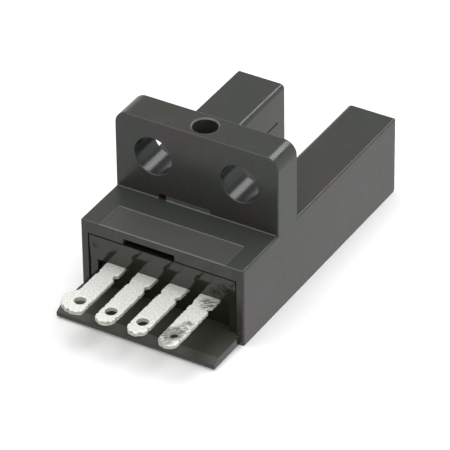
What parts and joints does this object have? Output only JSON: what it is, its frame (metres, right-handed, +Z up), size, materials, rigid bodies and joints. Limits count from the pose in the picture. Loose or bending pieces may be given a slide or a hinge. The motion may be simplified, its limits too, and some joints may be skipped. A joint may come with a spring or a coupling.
{
  "type": "slotted optical switch",
  "caption": "Slotted optical switch: a forked case sends a light beam across its slot, with an upright screw flange and flat soldering terminals at the other end.",
  "frame": {"origin": "on the underside, at mid width, below the end face that the terminals come out of", "axes": "+Y from that end face to the arm tips, +Z up along the flange, +X to the right when looking along +Y"},
  "size_m": [0.0132, 0.0284, 0.0127],
  "materials": {
    "housing_plastic": "semi-gloss, dark grey",
    "base_plastic": "glossy, dark grey",
    "tinned_brass": "matte tin plating",
    "smoky_clear_plastic": "smoky clear",
    "filter_plastic": "passes infrared light only",
    "board_laminate": "green solder resist",
    "blue_tinted_epoxy": "clear, blue tint",
    "black_epoxy": "glossy",
    "lamp_epoxy": "clear, red tint",
    "package_moulding": "matte",
    "resistor_ceramic": "matte",
    "capacitor_ceramic": "matte"
  },
  "bodies": {
    "root": {"housing": "housing_plastic", "terminal_base": "base_plastic", "supply_terminal": "tinned_brass", "select_terminal": "tinned_brass", "output_terminal": "tinned_brass", "ground_terminal": "tinned_brass", "light_guide": "smoky_clear_plastic", "emitter_window": "filter_plastic", "receiver_window": "filter_plastic", "circuit_board": "board_laminate", "infrared_emitter": "blue_tinted_epoxy", "emitter_leads": "tinned_brass", "photo_detector": "black_epoxy", "detector_leads": "tinned_brass", "indicator_lamp": "lamp_epoxy", "amplifier_chip": "package_moulding", "amplifier_leads": "tinned_brass", "output_transistor": "package_moulding", "transistor_leads": "tinned_brass", "protection_diode": "package_moulding", "chip_resistors": "resistor_ceramic", "supply_capacitor": "capacitor_ceramic"}
  },
  "joints": []
}
